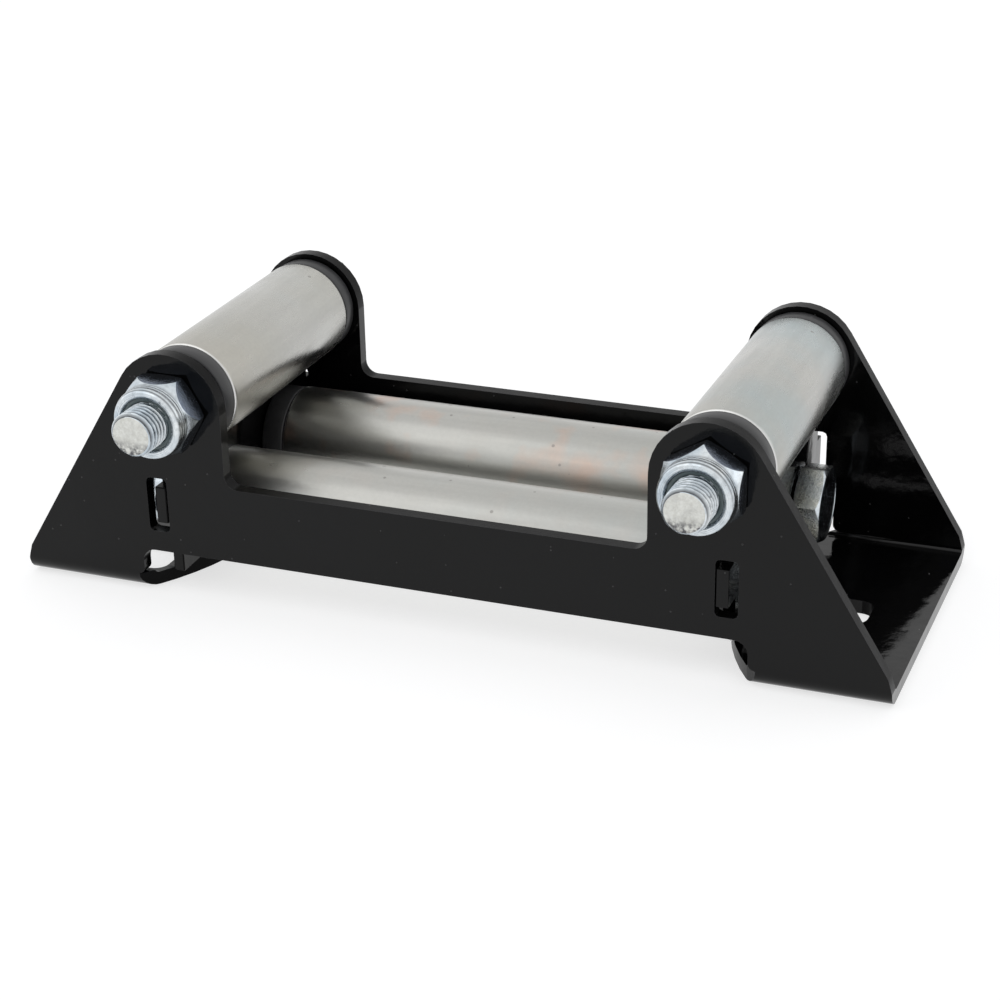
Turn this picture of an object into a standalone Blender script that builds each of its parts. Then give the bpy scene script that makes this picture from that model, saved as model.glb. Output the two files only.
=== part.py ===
"""Roller fairlead: a folded steel channel, two side rollers and two cross rollers on bolt axles.

Metres, +Z up. The origin is under the middle of the whole part, on the mounting face.
The length runs along X, the side rollers along Y, and the rope passes along Z.
"""

import math

import bmesh
import bpy
from mathutils import Matrix, Vector

# Clearances
GAP = 0.0003
CROSS_CLEAR = 0.0038
PLATE_CLEAR = 0.0008
SIDE_PLAY = 0.0020
CUT = 0.004

# Channel
LENGTH = 0.196
WIDTH = 0.0742
SHEET = 0.003
BEND_RADIUS = 0.004
END_HEIGHT = 0.0053
END_CORNER = 0.0018
RAIL_TOP = 0.0273
RAIL_BOTTOM = 0.0103
CORNER = 0.003
FLARE_RADIUS = 0.0015
TONGUE_RADIUS = 0.0588

# Places along the channel, as distances in from its ends
SIDE_INSET = 0.0386
PLATE_INSET = 0.0364
NOTCH_INSET = 0.0295
NOSE_INSET = 0.0411
SLOT_FAR_INSET = 0.0309
SLOT_NEAR_INSET = 0.0123

# Side axles and their towers
SIDE_Z = 0.0440
TOWER_RADIUS = 0.0123

# Cross axles
CROSS_Z = 0.0171

# Mounting slots: the main one from the middle line, the front one from the front face
SLOT_Y = (-0.0078, 0.0031)
FRONT_SLOT_Y = (0.0050, 0.0203)
SLOT_CORNER = 0.003

# End plates and the slots that hold their tabs
PLATE_SHEET = 0.0026
PLATE_CORNER = 0.003
PLATE_EDGE = 0.0023
FOOT_WIDTH = 0.0072
FOOT_HEIGHT = 0.0049
TAB_LOW = 0.0171
TAB_HIGH = 0.0255
TAB_SLOT_LOW = 0.0150
TAB_SLOT_HIGH = 0.0276
TAB_SLOT_REACH = 0.0046
TAB_SLOT_CORNER = 0.001

# Fasteners
BOLT_RADIUS = 0.0049
HEX_FLATS = 0.016
HEX_CHAMFER = 0.0013
HEX_TRIM = 0.0001
HEAD_HEIGHT = 0.0064
PROTRUSION = 0.0158
TIP_CHAMFER = 0.0007
NUT_CORNER_HEIGHT = 0.0053
NUT_HEX_HEIGHT = 0.0064
NUT_HEIGHT = 0.0100
COLLAR_RADIUS = 0.0079
COLLAR_ROUND = 0.0011
RING_OUTER = 0.0066
LIP_RADIUS = 0.00575
LIP_SHEET = 0.0007
LIP_EDGE = 0.0005

# Rollers and bushes
ROLLER_RADIUS = 0.0114
TUBE_WALL = 0.002
TUBE_CHAMFER = 0.0004
SIDE_HEAD = 0.0041
CROSS_HEAD = 0.0051
RIM_STEP = 0.0002
RIM_CHAMFER = 0.0004
SPIGOT = 0.008

# Roundness
ROUND_STEPS = 32
ROLLER_STEPS = 48
ARC_STEPS = 6

# Values that follow from the ones above
SIDE_X = LENGTH / 2 - SIDE_INSET
PLATE_X = LENGTH / 2 - PLATE_INSET
NOTCH_HALF = LENGTH / 2 - NOTCH_INSET
TONGUE_NOSE = LENGTH / 2 - NOSE_INSET
CROSS_Y = WIDTH / 2 - SHEET - CROSS_CLEAR - ROLLER_RADIUS
PLATE_TOP = SIDE_Z - ROLLER_RADIUS - PLATE_CLEAR
FRONT = -(WIDTH + HEAD_HEIGHT - PROTRUSION) / 2
BACK = FRONT + WIDTH
MIDDLE_Y = (FRONT + BACK) / 2
HOLE_RADIUS = BOLT_RADIUS + GAP
HEX_CORNER = HEX_FLATS / math.sqrt(3)
HEX_WIDE = HEX_CORNER + HEX_TRIM
HEX_SLOPE = HEX_CHAMFER / math.tan(math.radians(60))

PARTS = "roller_fairlead"
CUTTERS = "cutters"


def clear_scene():
    for obj in list(bpy.data.objects):
        bpy.data.objects.remove(obj, do_unlink=True)
    for collection in list(bpy.data.collections):
        bpy.data.collections.remove(collection)


def make_collection(name):
    collection = bpy.data.collections.new(name)
    bpy.context.scene.collection.children.link(collection)
    return collection


def make_material(name, colour, roughness, metallic):
    material = bpy.data.materials.new(name)
    material.use_nodes = True
    shader = material.node_tree.nodes["Principled BSDF"]
    shader.inputs["Base Color"].default_value = (*colour, 1.0)
    shader.inputs["Roughness"].default_value = roughness
    shader.inputs["Metallic"].default_value = metallic
    return material


def black_paint(name):
    return make_material(name, (0.015, 0.016, 0.018), 0.28, 0.0)


def zinc_tube(name):
    return make_material(name, (0.62, 0.62, 0.60), 0.32, 1.0)


def bright_zinc(name):
    return make_material(name, (0.70, 0.74, 0.80), 0.22, 1.0)


def charcoal_plastic(name):
    return make_material(name, (0.045, 0.045, 0.048), 0.50, 0.0)


def nylon(name):
    return make_material(name, (0.12, 0.19, 0.20), 0.45, 0.0)


def link(obj, home, material=None):
    bpy.data.collections[home].objects.link(obj)
    if home == CUTTERS:
        obj.hide_render = True
        obj.display_type = "WIRE"
    if material is not None:
        obj.data.materials.append(material)
    return obj


def arc(centre, radius, start, end, steps=ARC_STEPS):
    """Points on an arc from start to end degrees, both ends included."""
    points = []
    for step in range(steps + 1):
        angle = math.radians(start + (end - start) * step / steps)
        points.append((centre[0] + radius * math.cos(angle), centre[1] + radius * math.sin(angle)))
    return points


def rounded_box(low, high, radius, steps=ARC_STEPS):
    """Outline of a rectangle with round corners, anticlockwise."""
    (x0, y0), (x1, y1) = low, high
    points = arc((x1 - radius, y0 + radius), radius, -90, 0, steps)
    points += arc((x1 - radius, y1 - radius), radius, 0, 90, steps)
    points += arc((x0 + radius, y1 - radius), radius, 90, 180, steps)
    points += arc((x0 + radius, y0 + radius), radius, 180, 270, steps)
    return points


def mirrored(points):
    """The outline carried on to its mirror image across the first axis."""
    return points + [(-x, y) for x, y in reversed(points)]


def prism(name, outline, low, high, frame, home, material=None):
    """A flat outline in the local XY plane, pushed from low to high along local Z."""
    mesh = bpy.data.meshes.new(name)
    shape = bmesh.new()
    base = shape.faces.new([shape.verts.new((x, y, low)) for x, y in outline])
    pushed = bmesh.ops.extrude_face_region(shape, geom=[base])
    lifted = [item for item in pushed["geom"] if isinstance(item, bmesh.types.BMVert)]
    bmesh.ops.translate(shape, verts=lifted, vec=(0, 0, high - low))
    bmesh.ops.recalc_face_normals(shape, faces=shape.faces)
    shape.to_mesh(mesh)
    shape.free()
    obj = bpy.data.objects.new(name, mesh)
    obj.matrix_world = frame
    return link(obj, home, material)


def turned(name, profile, steps, frame, home, material=None, ring=False):
    """A profile in the local XZ plane, turned round local Z. It runs down the outside first."""
    mesh = bpy.data.meshes.new(name)
    edges = [(i, i + 1) for i in range(len(profile) - 1)]
    if ring:
        edges.append((len(profile) - 1, 0))
    mesh.from_pydata([(r, 0, z) for r, z in profile], edges, [])
    obj = bpy.data.objects.new(name, mesh)
    obj.matrix_world = frame
    screw = obj.modifiers.new("turn", "SCREW")
    screw.axis = "Z"
    screw.steps = steps
    screw.render_steps = steps
    screw.use_merge_vertices = True
    screw.merge_threshold = 0.00001
    screw.use_smooth_shade = True
    return link(obj, home, material)


def boolean(obj, cutter, operation):
    step = obj.modifiers.new(cutter.name, "BOOLEAN")
    step.object = cutter
    step.operation = operation
    step.solver = "EXACT"


def along(direction, origin):
    """A frame at origin whose local Z points along direction."""
    turns = {
        "+Y": Matrix.Rotation(math.radians(-90), 4, "X"),
        "-Y": Matrix.Rotation(math.radians(90), 4, "X"),
        "+X": Matrix.Rotation(math.radians(90), 4, "Y"),
        "-X": Matrix.Rotation(math.radians(-90), 4, "Y"),
        "+Z": Matrix.Identity(4),
    }
    return Matrix.Translation(Vector(origin)) @ turns[direction]


def hexagon(first_corner):
    corners = []
    for step in range(6):
        angle = math.radians(first_corner + 60 * step)
        corners.append((HEX_CORNER * math.cos(angle), HEX_CORNER * math.sin(angle)))
    return corners


def channel_surface(material):
    """Outer skin of the folded U, open at both ends, thickened inwards."""
    top = SIDE_Z + TOWER_RADIUS + CUT
    low = BEND_RADIUS
    profile = [(FRONT, top)] + arc((FRONT + low, low), low, 180, 270)
    profile += arc((BACK - low, low), low, -90, 0) + [(BACK, top)]
    mesh = bpy.data.meshes.new("frame_channel")
    shape = bmesh.new()
    half = LENGTH / 2 + CUT
    left = [shape.verts.new((-half, y, z)) for y, z in profile]
    right = [shape.verts.new((half, y, z)) for y, z in profile]
    for a, b, c, d in zip(left, left[1:], right[1:], right):
        shape.faces.new((a, b, c, d))
    shape.to_mesh(mesh)
    shape.free()
    obj = link(bpy.data.objects.new("frame_channel", mesh), PARTS, material)
    skin = obj.modifiers.new("sheet", "SOLIDIFY")
    skin.thickness = SHEET
    skin.offset = -1.0
    skin.use_even_offset = True
    return obj


def side_outline():
    """Right half of the channel seen from the front, from the end up over the tower to the middle."""
    end = LENGTH / 2
    toe = END_CORNER
    reach = Vector((end - SIDE_X, END_HEIGHT - SIDE_Z))
    lean = math.degrees(math.atan2(reach.y, reach.x) + math.acos(TOWER_RADIUS / reach.length))
    slope = math.radians(lean + 90)
    points = [(end, -CUT), (end, END_HEIGHT - toe)]
    points.append((end + toe * math.cos(slope) / 3, END_HEIGHT - toe / 3))
    points.append((end + toe * math.cos(slope), END_HEIGHT + toe * math.sin(slope)))
    points += arc((SIDE_X, SIDE_Z), TOWER_RADIUS, lean, 180, 14)
    inner = SIDE_X - TOWER_RADIUS
    points += arc((inner - CORNER, RAIL_TOP + CORNER), CORNER, 0, -90)
    return points


def window_outline():
    """Plan of the rope window: a long gap whose ends are the round noses of the two tongues."""
    spread = math.degrees(math.asin((WIDTH / 2 + CUT) / TONGUE_RADIUS))
    centre = TONGUE_NOSE + TONGUE_RADIUS
    return mirrored(arc((centre, MIDDLE_Y), TONGUE_RADIUS, 180 + spread, 180 - spread, 19))


def rail_notch_outline():
    """Gap under each rail, seen from the front, with round upper corners."""
    flare = (NOTCH_HALF + FLARE_RADIUS, BEND_RADIUS + FLARE_RADIUS)
    right = [(flare[0], BEND_RADIUS - GAP)] + arc(flare, FLARE_RADIUS, 270, 180, 4)
    right += arc((NOTCH_HALF - CORNER, RAIL_BOTTOM - CORNER), CORNER, 0, 90)
    return mirrored(right)


def build_channel():
    channel = channel_surface(black_paint("frame_channel"))
    front_view = along("-Y", (0, 0, 0))
    tools = [
        (prism("cut_side", mirrored(side_outline()), -BACK - CUT, -FRONT + CUT, front_view, CUTTERS), "INTERSECT"),
        (plate_cut("cut_window", window_outline()), "DIFFERENCE"),
    ]
    reach = SHEET + GAP
    for name, near, far in (("front", FRONT - CUT, FRONT + reach), ("back", BACK - reach, BACK + CUT)):
        notch = prism("cut_notch_" + name, rail_notch_outline(), -far, -near, front_view, CUTTERS)
        tools.append((notch, "DIFFERENCE"))
    for name, sign in (("left", -1), ("right", 1)):
        frame = along("+Y", (sign * SIDE_X, MIDDLE_Y, SIDE_Z))
        hole = arc((0, 0), HOLE_RADIUS, 0, 360 - 360 / ROUND_STEPS, ROUND_STEPS - 1)
        tools.append((prism("cut_axle_" + name, hole, -WIDTH, WIDTH, frame, CUTTERS), "DIFFERENCE"))
        ends = sorted((sign * (PLATE_X - GAP), sign * (PLATE_X + TAB_SLOT_REACH)))
        tab = rounded_box((ends[0], TAB_SLOT_LOW), (ends[1], TAB_SLOT_HIGH), TAB_SLOT_CORNER, 2)
        tools.append((prism("cut_tab_" + name, tab, -WIDTH, WIDTH, front_view, CUTTERS), "DIFFERENCE"))
        ends = sorted((sign * (LENGTH / 2 - SLOT_FAR_INSET), sign * (LENGTH / 2 - SLOT_NEAR_INSET)))
        for kind, start, (near, far) in (("slot_", MIDDLE_Y, SLOT_Y), ("front_slot_", FRONT, FRONT_SLOT_Y)):
            outline = rounded_box((ends[0], start + near), (ends[1], start + far), SLOT_CORNER)
            tools.append((plate_cut("cut_" + kind + name, outline), "DIFFERENCE"))
    for cutter, operation in tools:
        boolean(channel, cutter, operation)


def plate_cut(name, outline):
    """Cutter through the web, no higher than the bends."""
    return prism(name, outline, -CUT, BEND_RADIUS, along("+Z", (0, 0, 0)), CUTTERS)


def build_end_plate(side, sign):
    """Upright plate across the channel, held by a tab in each flange and drilled for the cross axles.

    Both plates are one part with one lower corner cut off. The right one is turned end for end.
    """
    half = WIDTH / 2
    body = half - SHEET - PLATE_EDGE
    shoulder = half - SHEET - GAP
    low = SHEET + GAP
    square = [(body, low), (body, TAB_LOW), (half, TAB_LOW), (half, TAB_HIGH), (shoulder, TAB_HIGH)]
    square += arc((shoulder - PLATE_CORNER, PLATE_TOP - PLATE_CORNER), PLATE_CORNER, 0, 90)
    outline = [(body - FOOT_WIDTH, low), (body, low + FOOT_HEIGHT)] + square[1:]
    outline += [(-x, y) for x, y in reversed(square)]
    if sign > 0:
        outline = [(-x, y) for x, y in reversed(outline)]
    name = "end_plate_" + side
    centre = sign * (PLATE_X + PLATE_SHEET / 2)
    turn = Matrix(((0, 0, 1, 0), (1, 0, 0, 0), (0, 1, 0, 0), (0, 0, 0, 1)))
    frame = Matrix.Translation((centre, MIDDLE_Y, 0)) @ turn
    plate = prism(name, outline, -PLATE_SHEET / 2, PLATE_SHEET / 2, frame, PARTS, black_paint(name))
    for place, offset in (("front", -CROSS_Y), ("rear", CROSS_Y)):
        hole = arc((offset, CROSS_Z), HOLE_RADIUS, 0, 360 - 360 / ROUND_STEPS, ROUND_STEPS - 1)
        cutter = prism(f"cut_{name}_{place}", hole, -CUT, CUT, frame, CUTTERS)
        boolean(plate, cutter, "DIFFERENCE")


def build_bolt(name, grip, frame, corner):
    """Hexagon bolt. Local Z = 0 is the face under the head, which the shank runs down from."""
    tip = -(grip + PROTRUSION)
    profile = [(0, HEAD_HEIGHT), (HEX_WIDE - HEX_CHAMFER, HEAD_HEIGHT)]
    profile += [(HEX_WIDE, HEAD_HEIGHT - HEX_SLOPE), (HEX_WIDE, GAP)]
    profile += [(BOLT_RADIUS, GAP), (BOLT_RADIUS, tip + TIP_CHAMFER), (BOLT_RADIUS - TIP_CHAMFER, tip), (0, tip)]
    bolt = turned(name, profile, ROUND_STEPS, frame, PARTS, bright_zinc(name))
    cutter = prism("cut_" + name, hexagon(corner), tip - CUT, HEAD_HEIGHT + CUT, frame, CUTTERS)
    boolean(bolt, cutter, "INTERSECT")


def build_nut(name, frame, corner):
    """Lock nut with a rolled collar. Local Z = 0 is its seat."""
    inner = RING_OUTER + GAP
    lip = NUT_HEIGHT - LIP_SHEET
    shoulder = (COLLAR_RADIUS - COLLAR_ROUND, NUT_HEIGHT - COLLAR_ROUND)
    profile = [(LIP_RADIUS, NUT_HEIGHT)] + arc(shoulder, COLLAR_ROUND, 90, 0, 2)
    profile += [(COLLAR_RADIUS, NUT_HEX_HEIGHT), (HEX_WIDE, NUT_CORNER_HEIGHT), (HEX_WIDE, GAP + HEX_SLOPE)]
    profile += [(HEX_WIDE - HEX_CHAMFER, GAP), (HOLE_RADIUS, GAP), (HOLE_RADIUS, NUT_HEX_HEIGHT)]
    profile += [(inner, NUT_HEX_HEIGHT), (inner, lip), (LIP_RADIUS, NUT_HEIGHT - LIP_EDGE)]
    nut = turned(name, profile, ROUND_STEPS, frame, PARTS, bright_zinc(name), ring=True)
    cutter = prism("cut_" + name, hexagon(corner), -CUT, NUT_HEIGHT + CUT, frame, CUTTERS)
    boolean(nut, cutter, "INTERSECT")


def build_insert(name, frame):
    """Nylon locking ring, held under the rolled lip of the nut."""
    low = NUT_HEX_HEIGHT + GAP
    high = NUT_HEIGHT - LIP_SHEET - GAP
    profile = [(RING_OUTER, high), (RING_OUTER, low), (HOLE_RADIUS, low), (HOLE_RADIUS, high)]
    turned(name, profile, ROUND_STEPS, frame, PARTS, nylon(name), ring=True)


def build_roller(name, half_length, frame):
    inner = ROLLER_RADIUS - TUBE_WALL
    cut = TUBE_CHAMFER
    profile = [(ROLLER_RADIUS - cut, half_length), (ROLLER_RADIUS, half_length - cut)]
    profile += [(ROLLER_RADIUS, cut - half_length), (ROLLER_RADIUS - cut, -half_length)]
    profile += [(inner, -half_length), (inner, half_length)]
    turned(name, profile, ROLLER_STEPS, frame, PARTS, zinc_tube(name), ring=True)


def build_bush(name, head, frame):
    """Flanged bush. Local Z = 0 is the outer face of its head, and its spigot runs down into the tube."""
    rim = ROLLER_RADIUS - RIM_STEP
    spigot = ROLLER_RADIUS - TUBE_WALL - GAP
    profile = [(rim - RIM_CHAMFER, 0), (rim, -RIM_CHAMFER), (rim, -head), (spigot, -head)]
    profile += [(spigot, -head - SPIGOT), (HOLE_RADIUS, -head - SPIGOT), (HOLE_RADIUS, 0)]
    turned(name, profile, ROUND_STEPS, frame, PARTS, charcoal_plastic(name), ring=True)


def build_side_axle(side, sign):
    """Side roller, its two bushes, the bolt through both towers and its lock nut in front.

    The roller stands back against the rear tower, and all its end play is in front.
    """
    x = sign * SIDE_X
    corner = 0 if side == "left" else 30
    space = WIDTH / 2 - SHEET
    half_length = space - SIDE_PLAY / 2 - SIDE_HEAD - 2 * GAP
    middle = MIDDLE_Y + SIDE_PLAY / 2
    build_roller("side_roller_" + side, half_length, along("+Y", (x, middle, SIDE_Z)))
    for place, direction, towards in (("front", "-Y", -1), ("rear", "+Y", 1)):
        frame = along(direction, (x, middle + towards * (half_length + SIDE_HEAD + GAP), SIDE_Z))
        build_bush(f"side_bush_{side}_{place}", SIDE_HEAD, frame)
    build_bolt("side_bolt_" + side, WIDTH, along("+Y", (x, BACK, SIDE_Z)), 0)
    nut_frame = along("-Y", (x, FRONT, SIDE_Z))
    build_nut("side_nut_" + side, nut_frame, corner)
    build_insert("side_insert_" + side, nut_frame)


def build_cross_axle(place, towards):
    """Cross roller, its two bushes, the bolt through both end plates and its lock nut on the left."""
    y = MIDDLE_Y + towards * CROSS_Y
    half_length = PLATE_X - CROSS_HEAD - 2 * GAP
    build_roller("cross_roller_" + place, half_length, along("+X", (0, y, CROSS_Z)))
    for side, direction, sign in (("left", "-X", -1), ("right", "+X", 1)):
        frame = along(direction, (sign * (PLATE_X - GAP), y, CROSS_Z))
        build_bush(f"cross_bush_{place}_{side}", CROSS_HEAD, frame)
    outer = PLATE_X + PLATE_SHEET
    build_bolt("cross_bolt_" + place, 2 * outer, along("+X", (outer, y, CROSS_Z)), 0)
    nut_frame = along("-X", (-outer, y, CROSS_Z))
    build_nut("cross_nut_" + place, nut_frame, 0)
    build_insert("cross_insert_" + place, nut_frame)


clear_scene()
make_collection(PARTS)
make_collection(CUTTERS).hide_render = True
build_channel()
build_end_plate("left", -1)
build_end_plate("right", 1)
build_side_axle("left", -1)
build_side_axle("right", 1)
build_cross_axle("front", -1)
build_cross_axle("rear", 1)
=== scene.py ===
import math

import bpy
from mathutils import Matrix, Vector


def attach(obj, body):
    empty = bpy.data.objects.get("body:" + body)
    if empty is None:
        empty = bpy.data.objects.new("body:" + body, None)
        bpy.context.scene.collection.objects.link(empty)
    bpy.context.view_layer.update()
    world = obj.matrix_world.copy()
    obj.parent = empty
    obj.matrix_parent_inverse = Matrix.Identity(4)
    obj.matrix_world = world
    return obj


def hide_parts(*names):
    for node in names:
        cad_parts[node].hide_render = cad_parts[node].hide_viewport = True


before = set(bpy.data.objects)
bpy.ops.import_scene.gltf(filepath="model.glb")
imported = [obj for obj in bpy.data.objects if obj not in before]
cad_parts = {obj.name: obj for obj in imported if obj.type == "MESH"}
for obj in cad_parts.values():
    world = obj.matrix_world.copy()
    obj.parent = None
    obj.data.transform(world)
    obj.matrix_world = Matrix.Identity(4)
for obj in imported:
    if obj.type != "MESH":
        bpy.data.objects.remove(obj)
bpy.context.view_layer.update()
mm = 0.001


# Camera
# A long lens above the front right, as the fairlead was photographed. The lens looks a little
# below the object, so the frame is shifted up by a tenth of its width.
lens_data = bpy.data.cameras.new("camera")
lens_data.lens = 83.74
lens_data.sensor_width = 36
lens_data.shift_x = -0.0006
lens_data.shift_y = 0.0940
lens_data.clip_start = 0.01
camera = bpy.data.objects.new("camera", lens_data)
bpy.context.scene.collection.objects.link(camera)
camera.location = (174.26 * mm, -433.83 * mm, 225.02 * mm)
camera.rotation_euler = (1.11337, 0.01731, 0.36799)
bpy.context.scene.camera = camera
bpy.context.scene.view_settings.view_transform = "Standard"


# Studio
# A white paper sweep in a light tent, with three large soft lamps. Paper and tent show as white
# to the eye and in the plating, and the paper keeps the shadow that the fairlead throws.
def new_tree(owner):
    owner.use_nodes = True
    tree = owner.node_tree
    tree.nodes.clear()
    return tree


def add(tree, kind, **settings):
    node = tree.nodes.new(kind)
    for name, value in settings.items():
        if name in node.inputs:
            node.inputs[name].default_value = value
        else:
            setattr(node, name, value)
    return node


def join(tree, source, output, target, socket):
    tree.links.new(source.outputs[output], target.inputs[socket])


def seen_or_mirrored(tree):
    """1 for rays from the camera, from a mirroring surface or through glass, otherwise 0."""
    path = add(tree, "ShaderNodeLightPath")
    seen = add(tree, "ShaderNodeMath", operation="MAXIMUM")
    join(tree, path, "Is Camera Ray", seen, 0)
    join(tree, path, "Is Glossy Ray", seen, 1)
    every = add(tree, "ShaderNodeMath", operation="MAXIMUM")
    join(tree, seen, "Value", every, 0)
    join(tree, path, "Is Transmission Ray", every, 1)
    return every


world = bpy.data.worlds.new("studio")
bpy.context.scene.world = world
tree = new_tree(world)
direction = add(tree, "ShaderNodeTexCoord")
split = add(tree, "ShaderNodeSeparateXYZ")
join(tree, direction, "Generated", split, "Vector")
ramp = add(tree, "ShaderNodeValToRGB")
ramp.color_ramp.elements[0].position = 0.46
ramp.color_ramp.elements[0].color = (0.60, 0.60, 0.61, 1)
ramp.color_ramp.elements[1].position = 0.95
ramp.color_ramp.elements[1].color = (0.97, 0.98, 1.00, 1)
lift = add(tree, "ShaderNodeMath", operation="MULTIPLY_ADD")
lift.inputs[1].default_value = 0.5
lift.inputs[2].default_value = 0.5
join(tree, split, "Z", lift, 0)
join(tree, lift, "Value", ramp, "Fac")
sky = add(tree, "ShaderNodeBackground", Strength=0.85)
join(tree, ramp, "Color", sky, "Color")
white = add(tree, "ShaderNodeBackground", Color=(1, 1, 1, 1), Strength=1.0)
choose = add(tree, "ShaderNodeMixShader")
join(tree, seen_or_mirrored(tree), "Value", choose, "Fac")
join(tree, sky, "Background", choose, 1)
join(tree, white, "Background", choose, 2)
out = add(tree, "ShaderNodeOutputWorld")
join(tree, choose, "Shader", out, "Surface")

bpy.ops.object.select_all(action="DESELECT")
bpy.ops.mesh.primitive_circle_add(vertices=64, radius=3.0, fill_type="NGON", location=(0, 0, -0.0002))
paper = bpy.context.active_object
paper.name = "paper"
finish = bpy.data.materials.new("paper")
tree = new_tree(finish)
matt = add(tree, "ShaderNodeBsdfDiffuse", Color=(0.80, 0.80, 0.80, 1))
pale = add(tree, "ShaderNodeBsdfDiffuse", Color=(0.43, 0.43, 0.43, 1))
glow = add(tree, "ShaderNodeEmission", Color=(1, 1, 1, 1), Strength=0.69)
shown = add(tree, "ShaderNodeAddShader")
join(tree, pale, "BSDF", shown, 0)
join(tree, glow, "Emission", shown, 1)
choose = add(tree, "ShaderNodeMixShader")
join(tree, seen_or_mirrored(tree), "Value", choose, "Fac")
join(tree, matt, "BSDF", choose, 1)
join(tree, shown, "Shader", choose, 2)
out = add(tree, "ShaderNodeOutputMaterial")
join(tree, choose, "Shader", out, "Surface")
paper.data.materials.append(finish)


def softbox(name, place, aim, size, brightness):
    """A rectangular lamp. At a brightness of 1 it looks as bright as the white paper."""
    data = bpy.data.lights.new(name, "AREA")
    data.shape = "RECTANGLE"
    data.size, data.size_y = size
    data.energy = brightness * math.pi * size[0] * size[1]
    lamp = bpy.data.objects.new(name, data)
    bpy.context.scene.collection.objects.link(lamp)
    lamp.location = place
    lamp.rotation_euler = (Vector(aim) - Vector(place)).to_track_quat("-Z", "Y").to_euler()


softbox("overhead", (-0.36, -0.52, 0.89), (0, 0, 0), (1.0, 0.8), 0.45)
softbox("left_side", (-0.95, -0.05, 0.55), (0, 0, 0.02), (0.5, 0.8), 0.45)
softbox("right_side", (0.95, 0.25, 0.50), (0, 0, 0.02), (0.4, 0.7), 0.45)


# Painted channel
# One strip of 3 mm steel, laser cut and folded to a U with two towers in each flange, then
# painted gloss black. The rope window, axle holes and mounting slots are cut before folding.
def pick(obj):
    bpy.ops.object.select_all(action="DESELECT")
    obj.select_set(True)
    bpy.context.view_layer.objects.active = obj


def sheet_copy(node, name):
    """The node's own mesh as a new piece, merged and with its flat faces whole again."""
    piece = bpy.data.objects.new(name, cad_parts[node].data.copy())
    bpy.context.scene.collection.objects.link(piece)
    piece.data.materials.clear()
    pick(piece)
    bpy.ops.object.mode_set(mode="EDIT")
    bpy.ops.mesh.select_all(action="SELECT")
    bpy.ops.mesh.remove_doubles(threshold=0.000002)
    bpy.ops.mesh.dissolve_limited(angle_limit=math.radians(0.5))
    bpy.ops.object.mode_set(mode="OBJECT")
    return piece


def soften(piece, width, steps, angle, arris=-1):
    """Rounds every edge that is sharper than the angle, and shades the rest smooth.

    The rounded strips take the material of the given slot, or else that of the faces beside them.
    """
    pick(piece)
    edge = piece.modifiers.new("edge", "BEVEL")
    edge.width = width
    edge.segments = steps
    edge.limit_method = "ANGLE"
    edge.angle_limit = math.radians(angle)
    edge.use_clamp_overlap = True
    edge.material = arris
    bpy.ops.object.modifier_apply(modifier="edge")
    bpy.ops.object.shade_smooth_by_angle(angle=math.radians(angle))


def stand_for(piece, node, body):
    """The piece rides with the body and hides the node."""
    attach(piece, body)
    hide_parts(node)


def new_group(name, inputs, outputs):
    group = bpy.data.node_groups.new(name, "ShaderNodeTree")
    for label, kind, value in inputs:
        socket = group.interface.new_socket(name=label, in_out="INPUT", socket_type="NodeSocket" + kind)
        if value is not None:
            socket.default_value = value
    for label, kind in outputs:
        group.interface.new_socket(name=label, in_out="OUTPUT", socket_type="NodeSocket" + kind)
    return group, add(group, "NodeGroupInput"), add(group, "NodeGroupOutput")


def scattered_specks():
    """Small round specks in a few of the cells of a Voronoi pattern."""
    inputs = [
        ("Vector", "Vector", None),
        ("Scale", "Float", 400.0),
        ("Share", "Float", 0.1),
        ("Size", "Float", 0.2),
    ]
    group, given, result = new_group("scattered_specks", inputs, [("Mask", "Float")])
    cells = add(group, "ShaderNodeTexVoronoi")
    join(group, given, "Vector", cells, "Vector")
    join(group, given, "Scale", cells, "Scale")
    split = add(group, "ShaderNodeSeparateColor")
    join(group, cells, "Color", split, "Color")
    chosen = add(group, "ShaderNodeMath", operation="LESS_THAN")
    join(group, split, "Red", chosen, 0)
    join(group, given, "Share", chosen, 1)
    reach = add(group, "ShaderNodeMath", operation="MULTIPLY")
    join(group, split, "Green", reach, 0)
    join(group, given, "Size", reach, 1)
    inside = add(group, "ShaderNodeMath", operation="LESS_THAN")
    join(group, cells, "Distance", inside, 0)
    join(group, reach, "Value", inside, 1)
    both = add(group, "ShaderNodeMath", operation="MULTIPLY")
    join(group, chosen, "Value", both, 0)
    join(group, inside, "Value", both, 1)
    join(group, both, "Value", result, "Mask")
    return group


def cloud(name, detail, roughness):
    """Soft noise from 0 to 1, spread over its whole range."""
    inputs = [
        ("Vector", "Vector", None),
        ("Scale", "Float", 50.0),
        ("Low", "Float", 0.35),
        ("High", "Float", 0.65),
    ]
    group, given, result = new_group(name, inputs, [("Value", "Float")])
    noise = add(group, "ShaderNodeTexNoise", Detail=detail, Roughness=roughness)
    join(group, given, "Vector", noise, "Vector")
    join(group, given, "Scale", noise, "Scale")
    spread = add(group, "ShaderNodeMapRange")
    join(group, noise, "Fac", spread, "Value")
    join(group, given, "Low", spread, "From Min")
    join(group, given, "High", spread, "From Max")
    join(group, spread, "Result", result, "Value")
    return group


specks_group = scattered_specks()
soft_cloud = cloud("soft_cloud", 3.0, 0.5)
fine_grain = cloud("fine_grain", 6.0, 0.65)


def place_group(tree, group, vector, **values):
    node = tree.nodes.new("ShaderNodeGroup")
    node.node_tree = group
    for name, value in values.items():
        node.inputs[name].default_value = value
    tree.links.new(vector, node.inputs["Vector"])
    return node


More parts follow.
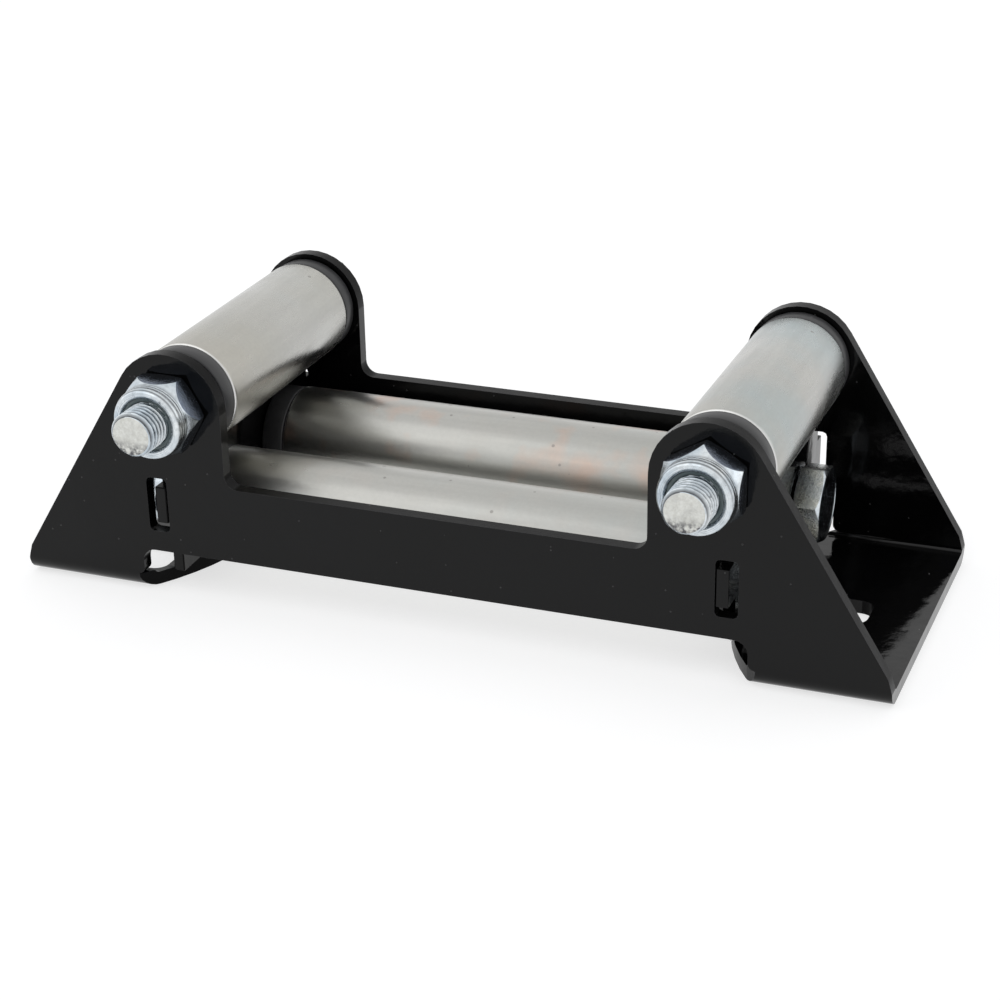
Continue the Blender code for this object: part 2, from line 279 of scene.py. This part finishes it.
def blend_colour(tree, factor, first, second):
    """Mixes two colours, each given as a colour or as an output socket.

    The node's colour sockets are 6 and 7 on the way in and 2 on the way out.
    """
    mix = add(tree, "ShaderNodeMix", data_type="RGBA")
    tree.links.new(factor, mix.inputs["Factor"])
    for socket, value in ((6, first), (7, second)):
        if isinstance(value, bpy.types.NodeSocket):
            tree.links.new(value, mix.inputs[socket])
        else:
            mix.inputs[socket].default_value = (*value, 1)
    return mix.outputs[2]


def between(tree, factor, low, high):
    """Carries a 0 to 1 value over to the range from low to high."""
    step = add(tree, "ShaderNodeMapRange")
    tree.links.new(factor, step.inputs["Value"])
    step.inputs["To Min"].default_value = low
    step.inputs["To Max"].default_value = high
    return step.outputs["Result"]


def stained(tree, mask, share, colour, stain):
    """Lays a stain over a colour where the mask says, at most as strong as the share."""
    return blend_colour(tree, between(tree, mask, 0.0, share), colour, stain)


def bump(tree, height, strength, distance, normal=None):
    node = add(tree, "ShaderNodeBump", Strength=strength, Distance=distance)
    tree.links.new(height, node.inputs["Height"])
    if normal is not None:
        tree.links.new(normal, node.inputs["Normal"])
    return node.outputs["Normal"]


def gloss_black_paint(name, colour, gloss, roughness):
    """Sprayed black with orange peel, a faint film, a few specks of dust and finer lint."""
    finish = bpy.data.materials.new(name)
    tree = new_tree(finish)
    place = add(tree, "ShaderNodeTexCoord").outputs["Object"]
    shader = add(tree, "ShaderNodeBsdfPrincipled", Metallic=0.0, IOR=1.5)
    shader.inputs["Specular IOR Level"].default_value = gloss
    dust = place_group(tree, specks_group, place, Scale=300.0, Share=0.06, Size=0.055)
    lint = place_group(tree, specks_group, place, Scale=900.0, Share=0.03, Size=0.20)
    film = place_group(tree, soft_cloud, place, Scale=45.0, Low=0.3, High=0.75)
    peel = place_group(tree, fine_grain, place, Scale=300.0, Low=0.2, High=0.8)
    waves = place_group(tree, soft_cloud, place, Scale=110.0, Low=0.2, High=0.8)
    lighter = [part * 1.7 for part in colour]
    paint = blend_colour(tree, film.outputs["Value"], colour, lighter)
    paint = blend_colour(tree, lint.outputs["Mask"], paint, (0.05, 0.05, 0.05))
    paint = blend_colour(tree, dust.outputs["Mask"], paint, (0.40, 0.40, 0.40))
    tree.links.new(paint, shader.inputs["Base Color"])
    dullness = between(tree, film.outputs["Value"], roughness, roughness + 0.05)
    tree.links.new(dullness, shader.inputs["Roughness"])
    relief = bump(tree, waves.outputs["Value"], 0.08, 0.0010)
    tree.links.new(bump(tree, peel.outputs["Value"], 0.08, 0.00025, relief), shader.inputs["Normal"])
    out = add(tree, "ShaderNodeOutputMaterial")
    join(tree, shader, "BSDF", out, "Surface")
    return finish


def painted_sheet(piece, edge_width, edge_steps, arris):
    """Gives a sheet its paint, duller on the cut edges, and keeps its flat faces flat in shading.

    The arrises take the paint of the given slot.
    """
    piece.data.materials.append(black_paint)
    piece.data.materials.append(highlighted_arris_paint)
    piece.data.materials.append(edge_paint)
    above_bends = 6 * mm
    for face in piece.data.polygons:
        slanted_end = 0.1 < abs(face.normal.x) < 0.999
        top_edge = abs(face.normal.z) > 0.5 and face.center.z > above_bends
        if slanted_end or top_edge:
            face.material_index = cut_edge_slot
    soften(piece, edge_width, edge_steps, 40, arris)
    flat = piece.modifiers.new("flat_faces", "WEIGHTED_NORMAL")
    flat.keep_sharp = True
    bpy.ops.object.modifier_apply(modifier="flat_faces")


arris_slot = 1
cut_edge_slot = 2
black_paint = gloss_black_paint("gloss_black_paint", (0.0014, 0.0014, 0.0015), 0.22, 0.045)
# The arrises' paint is lighter and glossier than the faces': the lighter colour is a painted highlight
# along the channel's edges.
highlighted_arris_paint = gloss_black_paint("painted_highlight_on_arris", (0.050, 0.050, 0.054), 0.60, 0.16)
edge_paint = gloss_black_paint("paint_on_cut_edge", (0.0022, 0.0022, 0.0023), 0.07, 0.22)
channel = sheet_copy("frame_channel", "painted_channel")
painted_sheet(channel, 0.30 * mm, 3, arris_slot)
stand_for(channel, "frame_channel", "channel")


# End plates
# Two upright steel plates across the channel, painted with it. A tab at each end of a plate
# stands in a slot of the flange, and the cross rollers' bolts go through the two holes.
for side in ("left", "right"):
    plate = sheet_copy("end_plate_" + side, "painted_end_plate_" + side)
    painted_sheet(plate, 0.26 * mm, 2, cut_edge_slot)
    stand_for(plate, "end_plate_" + side, "channel")


# Rollers
# Four lengths of one steel tube, turned to length, chamfered at both ends and zinc plated: two
# short ones between the towers and two long ones between the end plates. Each spins on bushes.
def turned(name, rings, steps, solid=False):
    """A piece turned on the Z axis: a circle, extruded and scaled from ring to ring, in millimetres.

    A solid piece is closed by flat ends. Any other one comes back round to its first ring.
    """
    bpy.ops.object.select_all(action="DESELECT")
    radius, height = rings[0]
    bpy.ops.mesh.primitive_circle_add(
        vertices=steps,
        radius=radius * mm,
        fill_type="NGON" if solid else "NOTHING",
        location=(0, 0, height * mm),
    )
    piece = bpy.context.active_object
    piece.name = name
    bpy.ops.object.transform_apply(location=True, rotation=True, scale=True)
    bpy.ops.object.mode_set(mode="EDIT")
    bpy.ops.mesh.select_all(action="SELECT")
    following = rings[1:] if solid else rings[1:] + rings[:1]
    for next_radius, next_height in following:
        rise = (next_height - height) * mm
        bpy.ops.mesh.extrude_region_move(TRANSFORM_OT_translate={"value": (0, 0, rise)})
        scale = next_radius / radius
        bpy.ops.transform.resize(value=(scale, scale, 1))
        radius, height = next_radius, next_height
    bpy.ops.mesh.select_all(action="SELECT")
    bpy.ops.mesh.remove_doubles(threshold=0.000001)
    bpy.ops.mesh.normals_make_consistent(inside=False)
    bpy.ops.object.mode_set(mode="OBJECT")
    return piece


def set_in_place(piece, direction, centre):
    """Turns the piece's Z axis to the direction and moves it to the centre, both in its mesh."""
    turns = {
        "+Y": Matrix.Rotation(math.radians(-90), 4, "X"),
        "-Y": Matrix.Rotation(math.radians(90), 4, "X"),
        "+X": Matrix.Rotation(math.radians(90), 4, "Y"),
        "-X": Matrix.Rotation(math.radians(-90), 4, "Y"),
    }
    pick(piece)
    piece.matrix_world = Matrix.Translation(Vector(centre) * mm) @ turns[direction]
    bpy.ops.object.transform_apply(location=True, rotation=True, scale=True)


def break_edges(piece):
    """Takes the sharpness off the edges of a turned or moulded piece. Its round faces stay smooth."""
    soften(piece, 0.02 * mm, 1, 75)


def centred_on(tree, centre, scale=(1, 1, 1)):
    """Object coordinates measured from a point in millimetres and stretched along the axes."""
    source = add(tree, "ShaderNodeTexCoord")
    mapping = add(tree, "ShaderNodeMapping")
    shift = [-value * mm * factor for value, factor in zip(centre, scale)]
    mapping.inputs["Location"].default_value = shift
    mapping.inputs["Scale"].default_value = scale
    join(tree, source, "Object", mapping, "Vector")
    return mapping.outputs["Vector"]


def plated_tube(name, centre, streaks, roughness, cool, warm, rosy, banding):
    """Satin zinc on drawn tube: blue, straw and pink clouds, drawing lines, grain and pits, and a
    painted highlight at both ends.
    """
    finish = bpy.data.materials.new(name)
    tree = new_tree(finish)
    even = centred_on(tree, centre)
    drawn = centred_on(tree, centre, streaks)
    shader = add(tree, "ShaderNodeBsdfPrincipled", Metallic=1.0)
    blue = place_group(tree, soft_cloud, even, Scale=34.0, Low=0.44, High=0.70)
    straw = place_group(tree, soft_cloud, even, Scale=24.0, Low=0.42, High=0.72)
    pink = place_group(tree, soft_cloud, even, Scale=78.0, Low=0.54, High=0.70)
    dull = place_group(tree, soft_cloud, even, Scale=95.0, Low=0.30, High=0.80)
    bands = place_group(tree, soft_cloud, drawn, Scale=150.0, Low=0.36, High=0.66)
    lines = place_group(tree, fine_grain, drawn, Scale=420.0, Low=0.25, High=0.75)
    grain = place_group(tree, fine_grain, even, Scale=1100.0, Low=0.25, High=0.75)
    pits = place_group(tree, specks_group, even, Scale=420.0, Share=0.10, Size=0.22)
    marks = place_group(tree, specks_group, drawn, Scale=260.0, Share=0.07, Size=0.16)
    plating = (0.520, 0.518, 0.490)
    colour = stained(tree, blue.outputs["Value"], cool, plating, (0.430, 0.512, 0.532))
    colour = stained(tree, straw.outputs["Value"], warm, colour, (0.490, 0.450, 0.375))
    colour = stained(tree, pink.outputs["Value"], rosy, colour, (0.660, 0.430, 0.320))
    colour = stained(tree, bands.outputs["Value"], banding, colour, (0.300, 0.295, 0.285))
    colour = stained(tree, lines.outputs["Value"], 0.18, colour, (0.270, 0.268, 0.260))
    colour = stained(tree, grain.outputs["Value"], 0.20, colour, (0.290, 0.288, 0.280))
    colour = stained(tree, pits.outputs["Mask"], 0.60, colour, (0.20, 0.19, 0.18))
    colour = stained(tree, marks.outputs["Mask"], 0.30, colour, (0.22, 0.21, 0.20))
    # Painted highlight: a pale colour on the tube's chamfered ends.
    end_highlight = add(tree, "ShaderNodeAttribute", attribute_name="painted_highlight_end")
    colour = blend_colour(tree, end_highlight.outputs["Fac"], colour, (0.74, 0.74, 0.73))
    tree.links.new(colour, shader.inputs["Base Color"])
    rough = add(tree, "ShaderNodeMath", operation="MULTIPLY_ADD")
    tree.links.new(lines.outputs["Value"], rough.inputs[0])
    rough.inputs[1].default_value = 0.08
    dullness = between(tree, dull.outputs["Value"], roughness, roughness + 0.08)
    tree.links.new(dullness, rough.inputs[2])
    tree.links.new(rough.outputs["Value"], shader.inputs["Roughness"])
    relief = bump(tree, lines.outputs["Value"], 0.05, 0.00008)
    relief = bump(tree, grain.outputs["Value"], 0.20, 0.00004, relief)
    tree.links.new(relief, shader.inputs["Normal"])
    out = add(tree, "ShaderNodeOutputMaterial")
    join(tree, shader, "BSDF", out, "Surface")
    return finish


def mark_highlighted_ends(roller, half):
    """Marks the faces at both ends of a tube along the Z axis, where a painted highlight goes."""
    end_highlight = roller.data.attributes.new("painted_highlight_end", "FLOAT", "POINT")
    bright_width = 0.20
    for point in roller.data.vertices:
        if abs(point.co.z) > (half - bright_width) * mm:
            end_highlight.data[point.index].value = 1


def tube_rings(half):
    """Outline of a tube from its bore round one end, along the outside and back."""
    inner = roller_radius - tube_wall
    end = [(inner, half - 0.25), (inner + 0.25, half)]
    end += [(roller_radius - 0.52, half), (roller_radius - 0.34, half - 0.06)]
    end += [(roller_radius - 0.06, half - 0.38), (roller_radius, half - 0.62)]
    other = [(r, -z) for r, z in reversed(end)]
    return end + other


# The channel's outer faces, the rollers' axes and the tube's sizes, in millimetres.
channel_width = 74.2
front_face = -32.4
back_face = front_face + channel_width
middle_y = (front_face + back_face) / 2
side_x = 59.4
side_z = 44.0
side_play = 2.0
side_middle = middle_y + side_play / 2
side_half = 28.4
cross_z = 17.1
cross_spread = 18.9
cross_y = {"front": middle_y - cross_spread, "rear": middle_y + cross_spread}
cross_half = 55.9
roller_radius = 11.4
tube_wall = 2.0
tube_facets = 128

# How blue, straw and pink the plating is, and how banded, roller by roller.
side_tints = {"left": (0.25, 0.60, 0.0, 0.20), "right": (1.0, 0.25, 0.0, 0.25)}
cross_tints = {"front": (0.30, 0.15, 0.08, 0.40), "rear": (0.35, 0.40, 0.65, 0.50)}

for side, x in (("left", -side_x), ("right", side_x)):
    roller = turned(f"plated_side_roller_{side}", tube_rings(side_half), tube_facets)
    mark_highlighted_ends(roller, side_half)
    centre = (x, side_middle, side_z)
    set_in_place(roller, "+Y", centre)
    break_edges(roller)
    along = (1, 0.12, 1)
    finish = plated_tube("satin_zinc_side_" + side, centre, along, 0.20, *side_tints[side])
    roller.data.materials.append(finish)
    stand_for(roller, "side_roller_" + side, side + "_side_roller")

for place, y in cross_y.items():
    roller = turned(f"plated_cross_roller_{place}", tube_rings(cross_half), tube_facets)
    mark_highlighted_ends(roller, cross_half)
    centre = (0, y, cross_z)
    set_in_place(roller, "+X", centre)
    break_edges(roller)
    along = (0.06, 1, 1)
    finish = plated_tube("satin_zinc_cross_" + place, centre, along, 0.25, *cross_tints[place])
    roller.data.materials.append(finish)
    stand_for(roller, "cross_roller_" + place, place + "_cross_roller")


# Bushes
# Eight bushes moulded in charcoal plastic, pushed into the tubes' ends. The head is almost as
# wide as the tube and keeps it off the steel, and the bore runs on the bolt.
def moulded_plastic():
    finish = bpy.data.materials.new("charcoal_plastic")
    tree = new_tree(finish)
    place = add(tree, "ShaderNodeTexCoord").outputs["Object"]
    shader = add(tree, "ShaderNodeBsdfPrincipled", Metallic=0.0, IOR=1.47)
    worn = place_group(tree, soft_cloud, place, Scale=120.0, Low=0.3, High=0.75)
    grain = place_group(tree, fine_grain, place, Scale=1100.0, Low=0.25, High=0.75)
    lint = place_group(tree, specks_group, place, Scale=500.0, Share=0.05, Size=0.22)
    colour = blend_colour(tree, worn.outputs["Value"], (0.022, 0.022, 0.023), (0.040, 0.040, 0.042))
    colour = stained(tree, lint.outputs["Mask"], 0.5, colour, (0.20, 0.20, 0.20))
    tree.links.new(colour, shader.inputs["Base Color"])
    tree.links.new(between(tree, worn.outputs["Value"], 0.36, 0.50), shader.inputs["Roughness"])
    tree.links.new(bump(tree, grain.outputs["Value"], 0.25, 0.00005), shader.inputs["Normal"])
    out = add(tree, "ShaderNodeOutputMaterial")
    join(tree, shader, "BSDF", out, "Surface")
    return finish


def bush_rings(head):
    """Outline of a bush from its bore over the head, down the spigot and back."""
    rim = roller_radius - 0.2
    spigot = roller_radius - tube_wall - gap
    foot = -head - spigot_length
    rings = [(bush_bore, -0.15), (bush_bore + 0.15, 0), (rim - 0.45, 0), (rim - 0.13, -0.12)]
    rings += [(rim, -0.42), (rim, -head + 0.25), (rim - 0.10, -head), (spigot, -head)]
    rings += [(spigot, foot + 0.4), (spigot - 0.4, foot), (bush_bore, foot)]
    return rings


gap = 0.3
side_head = 4.1
cross_head = 5.1
bush_bore = 5.25
spigot_length = 8.0
plate_inner = 61.6
bush_facets = 96
charcoal = moulded_plastic()
for side, x in (("left", -side_x), ("right", side_x)):
    for place, direction, towards in (("front", "-Y", -1), ("rear", "+Y", 1)):
        bush = turned(f"moulded_side_bush_{side}_{place}", bush_rings(side_head), bush_facets)
        outer_face = side_middle + towards * (side_half + gap + side_head)
        set_in_place(bush, direction, (x, outer_face, side_z))
        break_edges(bush)
        bush.data.materials.append(charcoal)
        stand_for(bush, f"side_bush_{side}_{place}", side + "_side_roller")

for place, y in cross_y.items():
    for side, direction, towards in (("left", "-X", -1), ("right", "+X", 1)):
        bush = turned(f"moulded_cross_bush_{place}_{side}", bush_rings(cross_head), bush_facets)
        outer_face = towards * (plate_inner - gap)
        set_in_place(bush, direction, (outer_face, y, cross_z))
        break_edges(bush)
        bush.data.materials.append(charcoal)
        stand_for(bush, f"cross_bush_{place}_{side}", place + "_cross_roller")


# Axle bolts
# Four M10 hexagon bolts, cold headed with rolled threads and zinc plated bright. Each goes
# through both towers or both end plates, is the axle of one roller and is held by a lock nut.
flats = 16.0
corner = flats / math.sqrt(3)
thread_radius = 4.9
thread_depth = 0.74
pitch = 1.25
tip_length = 15.8
plate_outer = 64.2
turned_facets = 96


def zinc_plating(name, bluish, pale, roughness, grit, pitting):
    """Plating with stains and pits, and painted shade in the threads' roots and in lines round the
    nuts' collars.
    """
    finish = bpy.data.materials.new(name)
    tree = new_tree(finish)
    place = add(tree, "ShaderNodeTexCoord").outputs["Object"]
    shader = add(tree, "ShaderNodeBsdfPrincipled", Metallic=1.0)
    tint = place_group(tree, soft_cloud, place, Scale=160.0, Low=0.35, High=0.70)
    stain = place_group(tree, fine_grain, place, Scale=620.0, Low=0.45, High=0.70)
    grain = place_group(tree, fine_grain, place, Scale=2200.0, Low=0.25, High=0.75)
    pits = place_group(tree, specks_group, place, Scale=900.0, Share=pitting, Size=0.32)
    colour = blend_colour(tree, tint.outputs["Value"], bluish, pale)
    colour = stained(tree, stain.outputs["Value"], 0.42, colour, (0.24, 0.27, 0.30))
    colour = stained(tree, pits.outputs["Mask"], 0.6, colour, (0.20, 0.21, 0.23))
    # Painted shade from the marked points: the threads' roots and lines round one side of a nut's
    # collar.
    painted_shade = add(tree, "ShaderNodeAttribute", attribute_name="painted_shade")
    colour = stained(tree, painted_shade.outputs["Fac"], 0.94, colour, (0.045, 0.048, 0.052))
    tree.links.new(colour, shader.inputs["Base Color"])
    dullness = between(tree, stain.outputs["Value"], roughness, roughness + 0.16)
    tree.links.new(dullness, shader.inputs["Roughness"])
    tree.links.new(bump(tree, grain.outputs["Value"], grit, 0.00005), shader.inputs["Normal"])
    out = add(tree, "ShaderNodeOutputMaterial")
    join(tree, shader, "BSDF", out, "Surface")
    return finish


def chalky_end():
    """The cropped end of a bolt: whitish zinc with a crystalline speckle, darker patches, and a mottled
    painted dark reflection on one side.
    """
    finish = bpy.data.materials.new("chalky_end")
    tree = new_tree(finish)
    place = add(tree, "ShaderNodeTexCoord").outputs["Object"]
    shader = add(tree, "ShaderNodeBsdfPrincipled", Metallic=0.40)
    patch = place_group(tree, fine_grain, place, Scale=300.0, Low=0.50, High=0.75)
    grain = place_group(tree, fine_grain, place, Scale=1300.0, Low=0.30, High=0.70)
    reflection_mottle = place_group(tree, fine_grain, place, Scale=620.0, Low=0.42, High=0.56)
    colour = blend_colour(tree, grain.outputs["Value"], (0.66, 0.66, 0.61), (0.86, 0.87, 0.83))
    colour = stained(tree, patch.outputs["Value"], 0.45, colour, (0.36, 0.36, 0.34))
    # A mottled painted dark reflection on one side of the cropped end.
    reflection_side = add(tree, "ShaderNodeAttribute", attribute_name="painted_dark_reflection")
    painted_dark_reflection = add(tree, "ShaderNodeMath", operation="MULTIPLY")
    join(tree, reflection_side, "Fac", painted_dark_reflection, 0)
    join(tree, reflection_mottle, "Value", painted_dark_reflection, 1)
    colour = blend_colour(tree, painted_dark_reflection.outputs["Value"], colour, (0.10, 0.10, 0.11))
    tree.links.new(colour, shader.inputs["Base Color"])
    tree.links.new(between(tree, patch.outputs["Value"], 0.50, 0.32), shader.inputs["Roughness"])
    tree.links.new(bump(tree, grain.outputs["Value"], 0.5, 0.00008), shader.inputs["Normal"])
    out = add(tree, "ShaderNodeOutputMaterial")
    join(tree, shader, "BSDF", out, "Surface")
    return finish


def roughen_flats(piece, finish):
    """Gives a hexagon's six flats a finish of their own, coarser than the rest."""
    piece.data.materials.append(zinc)
    piece.data.materials.append(finish)
    least = (flats / 2 - 0.08) * mm
    for face in piece.data.polygons:
        away = math.hypot(face.center.x, face.center.y)
        if abs(face.normal.z) < 0.1 and away > least:
            face.material_index = 1


def round_hexagon(piece):
    """Rounds the edges of a bolt head or a nut a little."""
    soften(piece, 0.13 * mm, 2, 28)


def hexagon_bar(first_corner, low, high):
    """A bar of hexagon stock on the Z axis, with a corner at the given angle."""
    bar = turned("hexagon_bar", [(corner, low), (corner, high)], 6, solid=True)
    start = bar.data.vertices[0].co
    turn = math.radians(first_corner) - math.atan2(start.y, start.x)
    bar.data.transform(Matrix.Rotation(turn, 4, "Z"))
    return bar


def cut_to_hexagon(piece, bar):
    pick(piece)
    cut = piece.modifiers.new("hexagon", "BOOLEAN")
    cut.object = bar
    cut.operation = "INTERSECT"
    cut.solver = "EXACT"
    bpy.ops.object.modifier_apply(modifier="hexagon")
    bpy.data.objects.remove(bar, do_unlink=True)


def thread_profile(turn):
    """How deep a rolled thread is over one turn from 0 to 1: 0 on its crest, 1 in its root."""
    away = abs((turn + 0.5) % 1 - 0.5) * 2
    crest = 0.20
    flank = 0.55
    return min(1, max(0, (away - crest) / flank))


def threaded_end(start, tip):
    """The last stretch of the shank, with its thread and a chamfered tip at the low end.

    It is marked for painted shade in the thread's root and for a painted dark reflection on one side of
    the cropped end.
    """
    rows_per_turn = 14
    tip_radius = 4.15
    rows = int((start - tip) / (pitch / rows_per_turn))
    rings = [(thread_radius, start + (tip - start) * row / rows) for row in range(rows + 1)]
    rings += [(3.6, tip), (2.5, tip), (1.3, tip)]
    stud = turned("threaded_end", rings, turned_facets, solid=True)
    # Painted shade in the thread's root, darker where the root is deeper.
    root = stud.data.attributes.new("painted_shade", "FLOAT", "POINT")
    painted_dark_reflection = stud.data.attributes.new("painted_dark_reflection", "FLOAT", "POINT")
    for point in stud.data.vertices:
        # Painted dark reflection, growing towards one side of the cropped end.
        painted_dark_reflection.data[point.index].value = min(1, max(0, (point.co.y / mm - 1.0) / 2.0))
        if math.hypot(point.co.x, point.co.y) < 4.5 * mm:
            continue
        angle = math.atan2(point.co.y, point.co.x)
        height = point.co.z / mm
        depth = thread_profile(height / pitch - angle / math.tau)
        radius = thread_radius - thread_depth * depth
        if height - tip > 0.1:
            root.data[point.index].value = depth
        radius = min(radius, tip_radius + (height - tip))
        point.co.x = radius * mm * math.cos(angle)
        point.co.y = radius * mm * math.sin(angle)
    stud.data.materials.append(zinc)
    stud.data.materials.append(cut_end)
    for face in stud.data.polygons:
        if face.normal.z < -0.9 and face.center.z < (tip + 0.05) * mm:
            face.material_index = 1
    return stud


def axle_bolt(name, grip, first_corner):
    """A bolt with its head above Z = 0, its shank through the grip and its nut, and a threaded tip.

    The plain shank ends inside the nut, where the thread takes over.
    """
    end = -(grip + 9.0)
    rings = [(4.85, end), (4.85, 0.32), (7.65, 0.32), (7.75, 0.40), (7.75, 0.62)]
    rings += [(9.3, 0.64), (9.3, 5.62), (7.95, 6.36), (7.75, 6.40)]
    rings += [(7.3, 6.38), (7.1, 6.22), (6.7, 6.18)]
    head = turned(name, rings, turned_facets, solid=True)
    cut_to_hexagon(head, hexagon_bar(first_corner, end - 5, 12))
    roughen_flats(head, head_flats)
    round_hexagon(head)
    stud = threaded_end(end + 0.6, -(grip + tip_length))
    pick(stud)
    bpy.ops.object.shade_smooth_by_angle(angle=math.radians(50))
    pick(head)
    stud.select_set(True)
    bpy.ops.object.join()
    return head


bluish = (0.52, 0.59, 0.65)
pale = (0.75, 0.785, 0.80)
zinc = zinc_plating("bright_zinc", bluish, pale, 0.10, 0.45, 0.16)
bluish = (0.42, 0.45, 0.47)
pale = (0.62, 0.61, 0.53)
head_flats = zinc_plating("zinc_on_head_flats", bluish, pale, 0.24, 1.00, 0.42)
cut_end = chalky_end()
for side, x in (("left", -side_x), ("right", side_x)):
    bolt = axle_bolt("plated_side_bolt_" + side, channel_width, 0)
    set_in_place(bolt, "+Y", (x, back_face, side_z))
    stand_for(bolt, "side_bolt_" + side, "channel")

# How far each cross bolt's head is turned from standing on a corner, in degrees.
head_turns = {"front": 0, "rear": 15}
for place, y in cross_y.items():
    bolt = axle_bolt("plated_cross_bolt_" + place, 2 * plate_outer, head_turns[place])
    set_in_place(bolt, "+X", (plate_outer, y, cross_z))
    stand_for(bolt, "cross_bolt_" + place, "channel")


# Lock nuts
# Four M10 nuts with a collar rolled over a nylon ring, which grips the thread. The steel is
# zinc plated like the bolts, and the ring is dull blue-green.
def rolled_collar():
    """Outline of the collar, up its slightly wavy wall, over the roll and down to the ring's recess."""
    heights = [6.6 + 0.12 * step for step in range(17)]
    rings = [(7.84 + 0.03 * math.sin(7 * height), height) for height in heights]
    rings += [(7.80, 8.78), (7.66, 9.12), (7.44, 9.40), (7.12, 9.62), (6.95, 9.66), (6.92, 9.62)]
    rings += [(6.89, 9.67), (6.62, 9.70), (6.58, 9.66), (6.54, 9.69)]
    rings += [(6.2, 9.62), (5.92, 9.44), (5.78, 9.2), (5.8, 9.0), (6.1, 8.89), (6.9, 8.85)]
    return rings


def painted_collar_shade(height):
    """How dark the painted shade is in lines round the collar, at a height above the seat.

    Each line has its height, its reach up and down, and its strength.
    """
    lines = [(6.55, 0.26, 0.75), (7.25, 0.16, 0.95), (7.75, 0.30, 0.50)]
    lines += [(8.40, 0.14, 0.95), (9.12, 0.24, 0.85)]
    return max(dark * max(0, 1 - abs(height - line) / reach) for line, reach, dark in lines)


def lock_nut(name, first_corner):
    """A nut with its seat at Z = 0 and a collar on top, with painted shade in lines round one side of
    the collar.
    """
    rings = [(5.2, 0.9), (5.7, 0.32), (7.95, 0.32), (9.3, 1.08)]
    rings += [(9.3, 3.3), (8.6, 5.05), (8.12, 6.02), (7.9, 6.42)]
    rings += rolled_collar() + [(6.9, 6.95), (5.2, 6.95)]
    nut = turned(name, rings, turned_facets)
    cut_to_hexagon(nut, hexagon_bar(first_corner, -3, 14))
    roughen_flats(nut, shaded_nut_flats)
    round_hexagon(nut)
    # Painted shade in lines round the collar, strongest on one side.
    marks = nut.data.attributes.new("painted_shade", "FLOAT", "POINT")
    shaded_side = math.radians(75)
    for point in nut.data.vertices:
        round_by = math.atan2(point.co.y, point.co.x) - shaded_side
        share = max(0, math.cos(0.9 * round_by))
        if math.hypot(point.co.x, point.co.y) > 7.1 * mm:
            marks.data[point.index].value = painted_collar_shade(point.co.z / mm) * share
    return nut


def nylon():
    finish = bpy.data.materials.new("blue_green_nylon")
    tree = new_tree(finish)
    place = add(tree, "ShaderNodeTexCoord").outputs["Object"]
    shader = add(tree, "ShaderNodeBsdfPrincipled", Metallic=0.0, IOR=1.53)
    worn = place_group(tree, soft_cloud, place, Scale=260.0, Low=0.3, High=0.7)
    grain = place_group(tree, fine_grain, place, Scale=1400.0, Low=0.25, High=0.75)
    colour = blend_colour(tree, worn.outputs["Value"], (0.120, 0.165, 0.172), (0.185, 0.225, 0.230))
    tree.links.new(colour, shader.inputs["Base Color"])
    tree.links.new(between(tree, worn.outputs["Value"], 0.30, 0.45), shader.inputs["Roughness"])
    tree.links.new(bump(tree, grain.outputs["Value"], 0.2, 0.00005), shader.inputs["Normal"])
    out = add(tree, "ShaderNodeOutputMaterial")
    join(tree, shader, "BSDF", out, "Surface")
    return finish


# The nuts' flats: a coarser, rougher plating than the rest of the nut, and a much darker colour, which
# is painted shade.
bluish = (0.20, 0.24, 0.31)
pale = (0.34, 0.38, 0.46)
shaded_nut_flats = zinc_plating("painted_shade_zinc_on_nut_flats", bluish, pale, 0.16, 1.00, 0.30)
insert_rings = [(4.95, 7.15), (6.5, 7.15), (6.5, 8.55), (6.3, 8.75), (5.3, 8.88), (4.95, 8.6)]
ring_finish = nylon()

# Each nut's axle and place, the angle of its first corner, the way it faces and its seat.
nuts = [("side", "left", 0, "-Y", (-side_x, front_face, side_z))]
nuts += [("side", "right", 30, "-Y", (side_x, front_face, side_z))]
nuts += [("cross", place, 0, "-X", (-plate_outer, y, cross_z)) for place, y in cross_y.items()]
for axle, where, first_corner, direction, seat in nuts:
    nut = lock_nut(f"plated_{axle}_nut_{where}", first_corner)
    set_in_place(nut, direction, seat)
    stand_for(nut, f"{axle}_nut_{where}", "channel")
    ring = turned(f"nylon_{axle}_insert_{where}", insert_rings, 64)
    set_in_place(ring, direction, seat)
    break_edges(ring)
    ring.data.materials.append(ring_finish)
    stand_for(ring, f"{axle}_insert_{where}", "channel")
